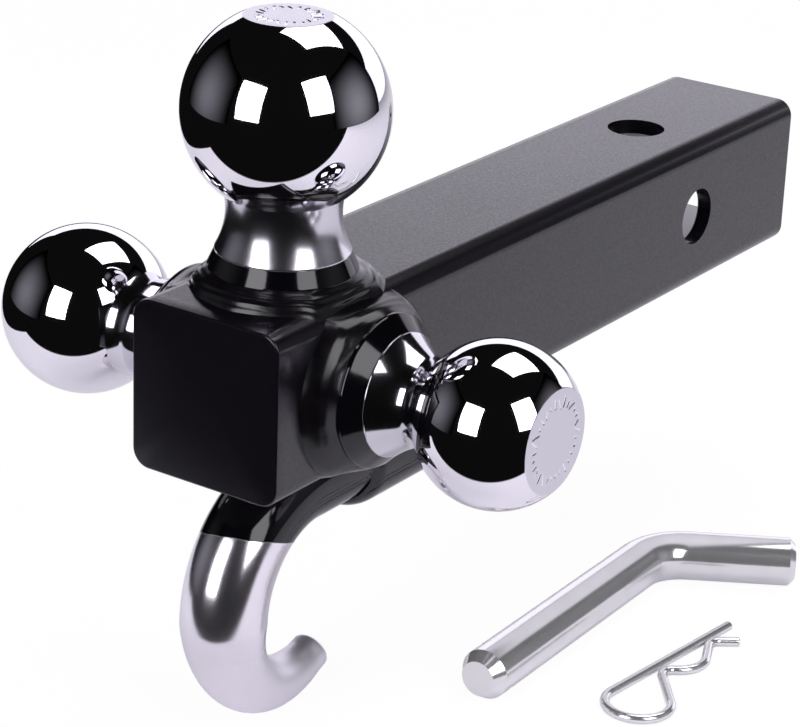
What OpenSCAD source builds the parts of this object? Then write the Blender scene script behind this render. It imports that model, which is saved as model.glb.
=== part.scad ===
// Receiver ball mount: a square tube shank that carries three towing balls and a tow hook,
// with the loose bent pin and spring clip that lock it into a receiver.
// X points to the towing vehicle, Y to its left and Z up. The origin is the point where the
// two pairs of pin holes cross, on the centre line of the shank.

/* [Shank] */
// Outside width of the square tube
shank_w = 50.8; // [50:0.1:52]
// Wall of the square tube
shank_wall = 5; // [4:0.1:6.4]
// Outside corner radius of the square tube
shank_corner_r = 5.6; // [5:0.1:6.5]
// Inside corner radius of the square tube
shank_inner_r = 1.5; // [1:0.1:3]
// Pin hole axis to the open front end
shank_front = 63.5; // [45:0.5:90]
// Pin hole axis to the closed rear end
shank_rear = 230; // [228:1:260]
// Diameter of the pin holes
pin_hole_d = 19; // [16.7:0.1:20]
// Thickness of the plate that closes the rear end
end_plate_t = 6; // [4:0.5:8]

/* [Balls: large on top, medium on the left, small on the right] */
// Ball diameters
ball_d = [58.74, 50.8, 47.63]; // [46:0.01:60]
// Diameters of the flats on the ends of the balls
ball_flat_d = [24.8, 28, 30]; // [20:0.1:32]
// Diameters of the necks under the balls, at their narrowest
ball_neck_d = [32.8, 29.4, 26.4]; // [26:0.1:34]
// Flange diameters at the foot of the balls
ball_flange_d = [43, 45.4, 45]; // [42:0.1:46]
// Bevel from each flange up to the foot of its flare
ball_bevel = [2.2, 4.2, 4.5]; // [2:0.1:5]
// Pin hole axis back to the axis of each ball
ball_station = [195, 195, 190]; // [188:0.5:200]
// Tube face to the nearest point of each ball
ball_rise = 21.3; // [20:0.1:24]
// Height of the straight flange wall
flange_t = 8.2; // [7:0.1:9]
// Tube face to the top of the flare
flare_top = 22; // [20:0.1:23]
// Diameter of the spigot that locates each ball in the tube wall
spigot_d = 25.4; // [20:0.1:28]

/* [Tow hook] */
// Diameter of the bar where it is welded on
hook_root_d = 28.6; // [26:0.1:30]
// Diameter of the bar round the bend
hook_bar_d = 25.4; // [22:0.1:26]
// Diameter of the bar at the tip
hook_tip_d = 12; // [10:0.1:16]
// Pin hole axis back to the front end of the root
hook_front = 110; // [100:1:130]
// Pin hole axis back to the shoulder of the root
hook_shoulder = 161; // [155:1:170]
// Pin hole axis back to the start of the bend
hook_bend_start = 186; // [182:0.5:190]
// Centre line radius of the bend, which turns the bar down
hook_bend_r = 33.7; // [30:0.1:38]
// Centre line radius of the curl, which turns the bar forward and up
hook_curl_r = 29.1; // [26:0.1:32]
// Angle of the curl
hook_curl_angle = 111; // [95:1:120]
// Straight end of the tip
hook_tip_l = 3; // [2:0.5:8]

/* [Weld beads] */
// Width of a bead outside a flange
bead_leg = 5; // [3:0.1:6]
// Extra width of a bead on its widest side
bead_extra = 2.6; // [0:0.1:3]
// Widest side of the bead about the axis of each ball
bead_widest = [-42, 160, 165]; // [-180:1:180]
// Crown of a bead above the line between its toes
bead_crown = 1.2; // [0.9:0.1:2]
// Depth of the waves along a bead
bead_wave = 0.7; // [0.1:0.1:0.8]
// Wave counts round one flange: drift of the hand, lumps, and ripples of the arc
bead_waves = [3, 7, 13]; // [1:1:16]
// Reach of the beads beside the hook, past its root
side_bead_leg = 1.4; // [1:0.1:2]

/* [Hitch pin] */
// Diameter of the pin
pin_d = 15.88; // [15:0.01:16.4]
// Straight leg, from its free end to the bend
pin_leg_l = 98; // [85:1:110]
// Straight handle, from the bend to its end
pin_handle_l = 35; // [25:1:45]
// Angle between leg and handle
pin_bend_angle = 60; // [45:1:90]
// Centre line radius of the bend
pin_bend_r = 19; // [16:0.5:24]
// Length of the taper on the free end of the leg
pin_point_l = 4; // [2:0.1:6]
// Diameter of the end face of the leg
pin_point_d = 11.2; // [9:0.1:14]
// Chamfer on the end of the handle
pin_chamfer = 2; // [1:0.1:3]
// Diameter of the cross hole for the clip
clip_hole_d = 4; // [3.6:0.1:5]
// Free end of the leg to the cross hole
clip_hole_inset = 10; // [8:0.5:14]
// Roll of the cross hole about the leg, as the pin lies
clip_hole_roll = 45; // [0:1:90]
// Place of the free end of the leg on the floor
pin_place = [-156.5, -47.3]; // [-180:0.1:0]
// Heading of the leg, from its free end
pin_heading = 1.3; // [-5:0.1:5]

/* [Spring clip] */
// Diameter of the spring wire
wire_d = 3; // [2.5:0.1:3.4]
// Length of the straight leg
clip_leg_l = 61.7; // [58:0.1:70]
// Centre line radius of the eye
clip_eye_r = 10; // [9:0.1:11]
// Eye to the middle of the arch that goes round the pin
clip_arch_x = 32.7; // [31:0.1:34]
// Centre line radius of the reversed bends beside the arch
clip_bend_r = 4; // [3:0.1:5]
// Slope of the wire from the arch up to the crest
clip_climb = 30; // [25:1:40]
// Slope of the lead-in at the free end of the shaped leg
clip_lead_slope = 47; // [30:1:60]
// Length of the lead-in
clip_lead_l = 6.2; // [3:0.1:8]
// Place of the start of the straight leg on the floor
clip_place = [-127.5, -76.9]; // [-180:0.1:0]
// Heading of the straight leg
clip_heading = -6.3; // [-20:0.1:20]

/* [Hidden] */

$fn = 96;
black = [0.09, 0.09, 0.10];
chrome = [0.86, 0.86, 0.89];
zinc = [0.74, 0.75, 0.78];

// Overlap that makes a cut run clean through a face
cut = 1;
// Air between a weld bead and what it lies on
bead_gap = 0.06;
// Air under a bead round a flange, which crosses the rounded edge of the tube in short straight steps
bead_under_gap = 0.12;
// Slip of a spigot in its hole
spigot_slip = 0.15;
// Slip between the clip and the pin that it goes round
clip_slip = 0.15;
// How much the bar of the pin thins where it is bent
bend_thinning = 0.05;
// Drop from the top of each flange wall to the crest of its bead
bead_drop = [0.1, 2, 2];
// Narrowest that a bead gets beside an edge of the tube
bead_min = 0.2;
// Sections of a bead round a flange, and of one beside the hook
bead_stations = 84;
side_bead_stations = 75;
// Space between the ends of the hook's root and of the beads beside it
side_bead_inset = 2;
// Slanting direction in which a bead crowns
crown_slant = sqrt(0.5);

// Half of the tube: the height of a face above the centre line
face = shank_w / 2;
// Names for the entries of the ball lists
LARGE = 0;
MEDIUM = 1;
SMALL = 2;
// Turn that takes a ball from the top face to its own face
ball_turn = [[0, 0, 0], [-90, 0, 0], [90, 0, 0]];

// Radii of the hook's bar, and the centres of its bend and curl in the plane of the hook
root_r = hook_root_d / 2;
bar_r = hook_bar_d / 2;
tip_r = hook_tip_d / 2;
bend_centre = [-hook_bend_start, -face - bead_gap - bar_r - hook_bend_r];
curl_centre = bend_centre + [hook_curl_r - hook_bend_r, 0];
// Lowest point of the hook: the floor that the loose pin and clip lie on
floor_z = min([for (ring = hook_rings()) for (p = ring) p[2]]);

// Points of an arc in a plane, from one angle to another
function arc(centre, r, from, to, steps) =
    [for (i = [0 : steps])
        let (angle = from + (to - from) * i / steps)
        centre + r * [cos(angle), sin(angle)]];

// Skin over a row of rings, each with the same number of points. A closed row has no end caps.
module skin(rings, closed = false) {
    count = len(rings);
    sides = len(rings[0]);
    walls = [
        for (i = [0 : closed ? count - 1 : count - 2])
            for (j = [0 : sides - 1])
                let (
                    next_ring = ((i + 1) % count) * sides,
                    next_side = (j + 1) % sides,
                    a = i * sides + j,
                    b = i * sides + next_side,
                    c = next_ring + next_side,
                    d = next_ring + j
                )
                each [[a, c, b], [a, d, c]]
    ];
    caps = closed ? [] : [
        [for (j = [0 : sides - 1]) j],
        [for (j = [sides - 1 : -1 : 0]) (count - 1) * sides + j]
    ];
    polyhedron(points = [for (ring = rings) each ring], faces = concat(walls, caps));
}

// Square with rounded corners, about the origin
module rounded_square(w, r) {
    flat = w - 2 * r;
    square([w, flat], center = true);
    square([flat, w], center = true);
    for (x = [-1, 1], y = [-1, 1])
        translate([x * flat / 2, y * flat / 2])
            circle(r);
}

// Length of square bar along X, from one station to another
module square_bar(w, r, from, to) {
    translate([from, 0, 0])
        rotate([90, 0, 90])
            linear_extrude(to - from)
                rounded_square(w, r);
}

// Puts its children on the tube face of one ball, with Z along the axis of the ball
module on_face(ball) {
    translate([-ball_station[ball], 0, 0])
        rotate(ball_turn[ball])
            translate([0, 0, face])
                children();
}

// Square tube with its pin holes and the holes for the spigots
module shank_tube() {
    rear = -shank_rear + end_plate_t;
    color(black)
        difference() {
            square_bar(shank_w, shank_corner_r, rear, shank_front);
            square_bar(shank_w - 2 * shank_wall, shank_inner_r, rear - cut, shank_front + cut);
            for (turn = [[0, 0, 0], [90, 0, 0]])
                rotate(turn)
                    cylinder(d = pin_hole_d, h = shank_w + 2 * cut, center = true);
            for (ball = [LARGE, MEDIUM, SMALL])
                on_face(ball)
                    translate([0, 0, -shank_wall - cut])
                        cylinder(d = spigot_d + 2 * spigot_slip, h = shank_wall + 2 * cut);
        }
}

// Plate that closes the rear end, flush with the tube
module end_plate() {
    color(black)
        square_bar(shank_w, shank_corner_r, -shank_rear, -shank_rear + end_plate_t);
}

// Half outline of flange, bevel, flare and neck, to be turned about the axis of the ball
module stud_outline(flange_r, foot_r, neck_r, ball_r, centre) {
    foot = flange_t + flange_r - foot_r;
    // The flare starts on a short land above the bevel, is narrowest at the neck and widens into the ball
    land = 0.4;
    width = foot_r - neck_r;
    height = flare_top - foot - land;
    flare_r = (pow(width, 2) + pow(height, 2)) / (2 * width);
    // Just inside the ball
    top = centre - sqrt(pow(ball_r, 2) - pow(foot_r, 2)) + cut;
    difference() {
        polygon([[0, 0], [flange_r, 0], [flange_r, flange_t], [foot_r, foot], [foot_r, top], [0, top]]);
        translate([neck_r + flare_r, flare_top])
            circle(flare_r, $fn = 240);
    }
}

// One forged ball: spigot, flange, flare, neck and a ball with a flat end
module ball_stud(ball) {
    r = ball_d[ball] / 2;
    centre = ball_rise + r;
    flat_height = sqrt(pow(r, 2) - pow(ball_flat_d[ball] / 2, 2));
    flange_r = ball_flange_d[ball] / 2;
    color(chrome)
        on_face(ball) {
            translate([0, 0, -shank_wall])
                cylinder(d = spigot_d, h = shank_wall + cut);
            rotate_extrude()
                stud_outline(flange_r, flange_r - ball_bevel[ball], ball_neck_d[ball] / 2, r, centre);
            translate([0, 0, centre])
                difference() {
                    sphere(r);
                    translate([0, 0, flat_height])
                        cylinder(r = r, h = r);
                }
        }
}

module large_ball() {
    ball_stud(LARGE);
}

module medium_ball() {
    ball_stud(MEDIUM);
}

module small_ball() {
    ball_stud(SMALL);
}

// How far the tube falls away under its flat face, at a distance across it
function corner_drop(y) =
    let (over = min(max(abs(y) - face + shank_corner_r, 0), shank_corner_r))
    shank_corner_r - sqrt(pow(shank_corner_r, 2) - pow(over, 2));

// Unevenness of a hand-laid bead at an angle, from 0 on its fullest part to the depth of its waves.
// The three waves are each as deep as the others.
function bead_ebb(angle) =
    bead_wave * (0.5 + [for (n = bead_waves) sin(n * angle + 37 * n)] * [1, 1, 1] / 6);

// Cross section of the bead of one ball at an angle about it, as radius and height above the tube face.
// The toe stops at the edge of the tube, where the bead of the next face begins.
function bead_section(ball, angle, ebb) =
    let (
        steps = 5,
        under_steps = 6,
        flange_r = ball_flange_d[ball] / 2,
        across = abs(sin(angle)),
        edge = face - shank_corner_r * (1 - sin(45)) - bead_gap,
        free = flange_r + bead_leg + bead_extra * pow((1 + cos(angle - bead_widest[ball])) / 2, 2),
        reach = across * free > edge ? edge / across : free,
        inner = flange_r + bead_gap,
        toe_r = max(reach - ebb, inner + bead_min),
        // The underside follows the tube, also over its rounded edge
        under = [for (i = [0 : under_steps])
            let (r = inner + (toe_r - inner) * i / under_steps)
            [r, bead_under_gap - corner_drop(r * across)]],
        toe = under[under_steps],
        crest = [inner, flange_t - bead_drop[ball] - ebb],
        bulge = (bead_crown - ebb) * crown_slant * [1, 1]
    )
    concat(
        under,
        [for (i = [1 : steps]) toe + (crest - toe) * i / steps + bulge * sin(180 * i / steps)]
    );

// Uneven bead round the foot of one ball. The waves start elsewhere on each ball.
module ball_weld(ball) {
    start = 120 * ball;
    color(black)
        on_face(ball)
            skin([
                for (i = [0 : bead_stations - 1])
                    let (angle = -360 * i / bead_stations)
                    [for (p = bead_section(ball, angle, bead_ebb(angle + start)))
                        [p[0] * cos(angle), p[0] * sin(angle), p[1]]]
            ], closed = true);
}

module large_ball_weld() {
    ball_weld(LARGE);
}

module medium_ball_weld() {
    ball_weld(MEDIUM);
}

module small_ball_weld() {
    ball_weld(SMALL);
}

// Ring of the hook: its centre in the plane of the hook, the heading of the bar, and its radius.
// The heading is 0 where the bar runs to the rear and 90 where it runs down.
function hook_ring(centre, heading, r) =
    let (sides = 32)
    [for (j = [0 : sides - 1])
        let (a = 360 * j / sides, inward = r * cos(a))
        [centre[0] + inward * sin(heading), -r * sin(a), centre[1] - inward * cos(heading)]];

// Point of an arc of the hook at a heading
function hook_arc(centre, r, heading) = centre + r * [-sin(heading), cos(heading)];

// The bar is round all along: a thick root under the tube, a shoulder, a bend that turns it down,
// and a curl that turns it forward and up while it thins to the tip.
function hook_rings() =
    let (
        chamfer = 1.5,
        shoulder_l = 5,
        steps = 24,
        // Distance behind the pin hole axis, radius, and depth of the centre under the tube
        root = [
            [hook_front, root_r - chamfer, root_r],
            [hook_front + chamfer, root_r, root_r],
            [hook_shoulder, root_r, root_r],
            [hook_shoulder + shoulder_l, bar_r, bar_r]
        ],
        tip_heading = 90 + hook_curl_angle,
        tip_start = hook_arc(curl_centre, hook_curl_r, tip_heading),
        forward = [-cos(tip_heading), -sin(tip_heading)]
    )
    concat(
        [for (s = root) hook_ring([-s[0], -face - bead_gap - s[2]], 0, s[1])],
        [for (i = [0 : steps])
            let (heading = 90 * i / steps)
            hook_ring(hook_arc(bend_centre, hook_bend_r, heading), heading, bar_r)],
        [for (i = [1 : steps])
            let (
                heading = 90 + hook_curl_angle * i / steps,
                r = bar_r + (tip_r - bar_r) * i / steps
            )
            hook_ring(hook_arc(curl_centre, hook_curl_r, heading), heading, r)],
        [
            hook_ring(tip_start + forward * hook_tip_l, tip_heading, tip_r),
            hook_ring(tip_start + forward * (hook_tip_l + chamfer), tip_heading, tip_r - chamfer)
        ]
    );

module tow_hook() {
    color(chrome)
        skin(hook_rings());
}

// Cross section of a bead in the corner between tube and root, at one station along the bar.
// It follows the bar from its narrow gap out to the toe, and crowns back up to the tube.
function side_bead_section(ebb) =
    let (
        steps = 4,
        gap_angle = 22,
        toe_angle = 60,
        // Degrees that the toe draws back round the bar where the bead ebbs by a millimetre
        toe_swing = 4,
        toe = toe_angle - toe_swing * ebb,
        r = root_r + bead_gap,
        tube_z = -face - bead_gap,
        on_bar = arc([0, tube_z - root_r], r, 90 - gap_angle, 90 - toe, steps),
        bar_toe = on_bar[steps],
        tube_toe = [root_r + side_bead_leg - ebb, tube_z],
        bulge = (bead_crown - ebb) * crown_slant * [1, -1]
    )
    concat(
        on_bar,
        [for (i = [1 : steps - 1])
            bar_toe + (tube_toe - bar_toe) * i / steps + bulge * sin(180 * i / steps)],
        [tube_toe, [on_bar[0][0], tube_z]]
    );

// Uneven bead along one side of the hook's root, on the left side of the tube
module side_bead(start) {
    front = hook_front + side_bead_inset;
    length = hook_shoulder - hook_front - 2 * side_bead_inset;
    color(black)
        skin([
            for (i = [0 : side_bead_stations])
                let (x = front + length * i / side_bead_stations)
                [for (p = side_bead_section(bead_ebb(start + 360 * i / side_bead_stations)))
                    [-x, p[0], p[1]]]
        ]);
}

module hook_weld_left() {
    side_bead(0);
}

module hook_weld_right() {
    mirror([0, 1, 0])
        side_bead(90);
}

// Round bar along X from just behind the origin, with a taper to its far end
module pin_bar(l, taper_l, end_d) {
    lap = 0.4;
    rotate([0, 90, 0]) {
        translate([0, 0, -lap])
            cylinder(d = pin_d, h = l - taper_l + lap);
        translate([0, 0, l - taper_l])
            cylinder(d1 = pin_d, d2 = end_d, h = taper_l);
    }
}

// Bent pin as it lies on the floor: leg, bend to the right and handle, with a cross hole in the leg
module hitch_pin() {
    color(zinc)
        translate([pin_place[0], pin_place[1], floor_z + pin_d / 2])
            rotate([0, 0, pin_heading])
                difference() {
                    union() {
                        translate([pin_leg_l, 0, 0])
                            rotate([0, 0, 180])
                                pin_bar(pin_leg_l, pin_point_l, pin_point_d);
                        translate([pin_leg_l, -pin_bend_r, 0]) {
                            rotate([0, 0, 90 - pin_bend_angle])
                                rotate_extrude(angle = pin_bend_angle)
                                    translate([pin_bend_r, 0])
                                        circle(d = pin_d - bend_thinning);
                            rotate([0, 0, -pin_bend_angle])
                                translate([0, pin_bend_r, 0])
                                    pin_bar(pin_handle_l, pin_chamfer, pin_d - 2 * pin_chamfer);
                        }
                    }
                    translate([clip_hole_inset, 0, 0])
                        rotate([-clip_hole_roll, 0, 0])
                            cylinder(d = clip_hole_d, h = pin_d + 2 * cut, center = true);
                }
}

// Centre line of the clip, from the end of its straight leg along X, round the eye, and back along
// the shaped leg: a waist, the arch that goes round the pin, a crest that meets the straight leg,
// and a lead-in.
function clip_path() =
    let (
        // Slope of the shaped leg where it leaves the eye
        exit = 45,
        // Angle that keeps the end points of arcs that follow each other apart
        apart = 1,
        crest_steps = 9,
        arch_r = pin_d / 2 + wire_d / 2 + clip_slip,
        lever = arch_r + clip_bend_r,
        eye = [0, -clip_eye_r],
        arch = [clip_arch_x, 0],
        // The waist bend is tangent to the line that leaves the eye, and to the arch
        reach = clip_eye_r * (1 + sqrt(2)) - clip_arch_x + sqrt(2) * clip_bend_r,
        rear = acos(reach / (sqrt(2) * lever)) - exit,
        waist = arch + lever * [-sin(rear), -cos(rear)],
        // A straight climb leads from the arch to the crest, which stops just short of the straight leg
        crest_depth = wire_d + clip_slip + clip_bend_r,
        climb_l = (lever * cos(clip_climb) - crest_depth) / sin(clip_climb),
        crest = [clip_arch_x + lever * sin(clip_climb) + climb_l * cos(clip_climb), -crest_depth],
        crest_arc = arc(crest, clip_bend_r, 90 + clip_climb, 90 - clip_lead_slope, crest_steps)
    )
    concat(
        [[clip_leg_l, 0]],
        arc(eye, clip_eye_r, 90, 360 - exit, 30),
        arc(waist, clip_bend_r, 90 + exit, 90 - rear, 8),
        arc(arch, arch_r, 270 - rear + apart, 270 + clip_climb, 14),
        crest_arc,
        [crest_arc[crest_steps] + clip_lead_l * [cos(clip_lead_slope), -sin(clip_lead_slope)]]
    );

// Rings of round wire along a flat path
function wire_rings(path, r) =
    let (sides = 16, last = len(path) - 1)
    [for (i = [0 : last])
        let (
            along = path[min(i + 1, last)] - path[max(i - 1, 0)],
            left = [-along[1], along[0]] / norm(along)
        )
        [for (j = [0 : sides - 1])
            let (a = 360 * j / sides, p = path[i] + r * cos(a) * left)
            [p[0], p[1], r * sin(a)]]];

// Spring clip as it lies on the floor
module spring_clip() {
    color(zinc)
        translate([clip_place[0], clip_place[1], floor_z + wire_d / 2])
            rotate([0, 0, clip_heading])
                skin(wire_rings(clip_path(), wire_d / 2));
}

shank_tube();
end_plate();
large_ball();
medium_ball();
small_ball();
large_ball_weld();
medium_ball_weld();
small_ball_weld();
tow_hook();
hook_weld_left();
hook_weld_right();
hitch_pin();
spring_clip();
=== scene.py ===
"""Looks of a receiver ball mount: finishes, finer surfaces, studio and camera.

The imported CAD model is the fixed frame. Every length below is in millimetres in that frame, with X to
the towing vehicle, Y to its left and Z up, and is turned to metres where a mesh is written.
"""

import logging
from dataclasses import dataclass
from enum import Enum
from functools import partial
from math import acos, atan2, cos, degrees, hypot, pi, radians, sin, sqrt
from typing import Callable

import bpy
import numpy as np
from bpy.types import ID, Material, Node, NodeSocket, NodeTree, Object
from mathutils import Matrix, Vector


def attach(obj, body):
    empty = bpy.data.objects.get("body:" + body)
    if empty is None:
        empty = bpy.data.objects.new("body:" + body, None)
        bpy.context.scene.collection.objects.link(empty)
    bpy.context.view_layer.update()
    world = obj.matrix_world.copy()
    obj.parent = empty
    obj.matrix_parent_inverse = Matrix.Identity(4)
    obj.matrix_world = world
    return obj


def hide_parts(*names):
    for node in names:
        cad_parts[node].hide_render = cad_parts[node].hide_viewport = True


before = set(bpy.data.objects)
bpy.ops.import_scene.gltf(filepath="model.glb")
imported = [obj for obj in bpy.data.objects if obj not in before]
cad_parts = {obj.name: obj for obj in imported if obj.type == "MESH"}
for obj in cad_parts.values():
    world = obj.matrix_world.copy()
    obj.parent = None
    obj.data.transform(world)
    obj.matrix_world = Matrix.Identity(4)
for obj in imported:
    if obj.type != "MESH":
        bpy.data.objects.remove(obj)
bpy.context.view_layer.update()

LOG = logging.getLogger("hitch")
MM = 0.001
FLOOR_Z = -108.38
TUBE_HALF = 25.4
TUBE_CORNER = 5.6
Pair = tuple[float, float]
Triple = tuple[float, float, float]


def hex_linear(code: str) -> tuple[float, float, float, float]:
    """Turns an sRGB hex colour to linear RGBA.

    Args:
        code: Six hex digits.

    Returns:
        Linear red, green, blue and an alpha of 1.
    """
    srgb = np.array([int(code[i:i + 2], 16) for i in (0, 2, 4)]) / 255
    linear = np.where(srgb <= 0.04045, srgb / 12.92, ((srgb + 0.055) / 1.055) ** 2.4)
    return (*map(float, linear), 1.0)


def per_metre(size_mm: float) -> float:
    """Gives the texture scale on Object coordinates for features of a size in millimetres."""
    return 1 / (size_mm * MM)


def add_node(tree: NodeTree, kind: str, inputs: dict | None = None, **settings) -> Node:
    """Adds a shader node with its settings, and sets or links its inputs.

    Args:
        tree: Node tree that takes the node.
        kind: Node type without its ShaderNode prefix.
        inputs: Input name or number to a value, a hex colour, or the socket or node that feeds it. A node
            feeds it from its first output in use.
        settings: Properties of the node.

    Returns:
        The new node.
    """
    node = tree.nodes.new("ShaderNode" + kind)
    for name, value in settings.items():
        setattr(node, name, value)
    for key, value in (inputs or {}).items():
        if isinstance(value, Node):
            value = next(socket for socket in value.outputs if socket.enabled)
        if isinstance(value, NodeSocket):
            tree.links.new(value, node.inputs[key])
        else:
            node.inputs[key].default_value = hex_linear(value) if isinstance(value, str) else value
    return node


def new_material(name: str) -> tuple[Material, Callable[..., Node], NodeSocket]:
    """Makes a material whose tree holds only Object coordinates.

    Args:
        name: Name of the finish.

    Returns:
        The material, add_node for its tree, and the coordinates.
    """
    material = bpy.data.materials.new(name)
    material.use_nodes = True
    material.node_tree.nodes.clear()
    add = partial(add_node, material.node_tree)
    return material, add, add("TexCoord").outputs["Object"]


def linked(name: str, data: ID) -> Object:
    """Makes an object and links it to the scene.

    Args:
        name: Name of the object.
        data: Its mesh, lamp or camera.

    Returns:
        The object.
    """
    item = bpy.data.objects.new(name, data)
    bpy.context.scene.collection.objects.link(item)
    return item


def grid_object(
    name: str, points: np.ndarray, ring_of_rings: bool = False, crease: float = 40.0,
) -> Object:
    """Makes a closed mesh from a grid of points in millimetres.

    Row i is a closed ring, and a quad joins points (i, j), (i + 1, j), (i + 1, j + 1) and (i, j + 1).
    The rows either close on each other, or the first and last row get a fan to their middle.

    Args:
        name: Name of the piece.
        points: Array of rings by points by three.
        ring_of_rings: True if the last row joins the first.
        crease: Angle in degrees above which an edge stays sharp.

    Returns:
        The object, linked to the scene.
    """
    rows, sides = points.shape[:2]
    i, j = np.meshgrid(np.arange(rows if ring_of_rings else rows - 1), np.arange(sides), indexing="ij")
    below, beside = (i + 1) % rows, (j + 1) % sides
    quads = np.stack([i * sides + j, below * sides + j, below * sides + beside, i * sides + beside], -1)
    quads = quads.reshape(-1, 4)
    vertices = points.reshape(-1, 3)
    corners = [quads.ravel()]
    starts = [np.arange(len(quads)) * 4]
    if not ring_of_rings:
        middles = points[[0, -1]].mean(1)
        first, last = len(vertices), len(vertices) + 1
        vertices = np.vstack([vertices, middles])
        edge = np.arange(sides)
        after = (edge + 1) % sides
        base = (rows - 1) * sides
        fans = np.vstack([
            np.stack([np.full(sides, first), edge, after], -1),
            np.stack([np.full(sides, last), base + after, base + edge], -1),
        ])
        corners.append(fans.ravel())
        starts.append(len(quads) * 4 + np.arange(len(fans)) * 3)
    corners, starts = np.concatenate(corners), np.concatenate(starts)
    mesh = bpy.data.meshes.new(name)
    mesh.vertices.add(len(vertices))
    mesh.vertices.foreach_set("co", (vertices * MM).astype(np.float32).ravel())
    mesh.loops.add(len(corners))
    mesh.loops.foreach_set("vertex_index", corners.astype(np.int32))
    mesh.polygons.add(len(starts))
    mesh.polygons.foreach_set("loop_start", starts.astype(np.int32))
    mesh.polygons.foreach_set("use_smooth", np.ones(len(starts), bool))
    mesh.update(calc_edges=True)
    mesh.validate()
    mesh.set_sharp_from_angle(angle=radians(crease))
    return linked(name, mesh)


def arc(centre: Pair, radius: float, start: float, end: float, steps: int) -> np.ndarray:
    """Gives points at even angles on an arc: centre plus radius times (cosine, sine).

    Args:
        centre: Centre of the arc.
        radius: Radius of the arc.
        start: First angle in degrees.
        end: Last angle in degrees.
        steps: Number of points less one.

    Returns:
        Array of points by two.
    """
    angle = np.radians(np.linspace(start, end, steps + 1))
    return np.array(centre) + radius * np.stack([np.cos(angle), np.sin(angle)], -1)


def rounded(outline: list[Triple], steps: int = 6) -> np.ndarray:
    """Rounds the corners of an open outline, each by a quadratic curve between points on its two sides.

    Args:
        outline: Points as two coordinates and the length taken off either side of the corner.
        steps: Number of points on a corner less one.

    Returns:
        Array of points by two.
    """
    corner = np.array(outline)
    place, cut = corner[:, :2], corner[:, 2]
    t = np.linspace(0, 1, steps + 1)[:, None]
    runs = [place[:1]]
    for k in range(1, len(place) - 1):
        back, ahead = place[k - 1] - place[k], place[k + 1] - place[k]
        start = place[k] + cut[k] * back / np.linalg.norm(back)
        end = place[k] + cut[k] * ahead / np.linalg.norm(ahead)
        curve = (1 - t) ** 2 * start + 2 * t * (1 - t) * place[k] + t ** 2 * end
        runs.append(curve if cut[k] > 0 else place[k:k + 1])
    runs.append(place[-1:])
    return np.vstack(runs)


def tube(path: np.ndarray, radius: np.ndarray, side: Triple, sides: int) -> np.ndarray:
    """Carries a circle along a flat path.

    A ring is its path point plus radius times (cosine of the angle times the side direction, plus sine
    times the direction at right angles to side and path).

    Args:
        path: Array of points by three.
        radius: Radius at each point.
        side: Direction at right angles to the plane of the path.
        sides: Points on a ring.

    Returns:
        Array of points by sides by three.
    """
    along = np.gradient(path, axis=0)
    along /= np.linalg.norm(along, axis=1)[:, None]
    normal = np.array(side, float)
    across = np.cross(along, normal)
    angle = np.linspace(0, 2 * np.pi, sides, endpoint=False)
    circle = np.cos(angle)[None, :, None] * normal + np.sin(angle)[None, :, None] * across[:, None, :]
    return path[:, None, :] + radius[:, None, None] * circle


def wave_sums(seed: int, heights: dict[float, float], turn: np.ndarray) -> tuple[np.ndarray, np.ndarray]:
    """Gives three sums of sine waves with random phases.

    Args:
        seed: Seed of the phases.
        heights: Number of waves in a full turn to their height.
        turn: Angles at which the sums are taken.

    Returns:
        Array of sums by angles, and the phases.
    """
    phase = np.random.default_rng(seed).uniform(0, 2 * np.pi, (3, len(heights)))
    counts = np.array(list(heights))[None, :, None]
    waves = np.sin(counts * turn + phase[:, :, None])
    return np.einsum("k,wkn->wn", list(heights.values()), waves), phase


class Face(Enum):
    """Face of the tube that a ball stands on, as its outward direction."""

    TOP = (0, 0, 1)
    LEFT = (0, 1, 0)
    RIGHT = (0, -1, 0)

    def axes(self) -> np.ndarray:
        """Gives X, the other direction along the face and the outward one, as right-handed rows."""
        out, along = np.array(self.value, float), np.array([1.0, 0, 0])
        return np.stack([along, np.cross(out, along), out])


@dataclass(frozen=True)
class GlossPaint:
    """Gloss black paint, sprayed: near black, with clear mirror patches of lamps and a slight orange peel."""

    colour: str = "060508"
    roughness: float = 0.09
    peel_mm: float = 2.6
    peel_depth_mm: float = 0.012


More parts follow.
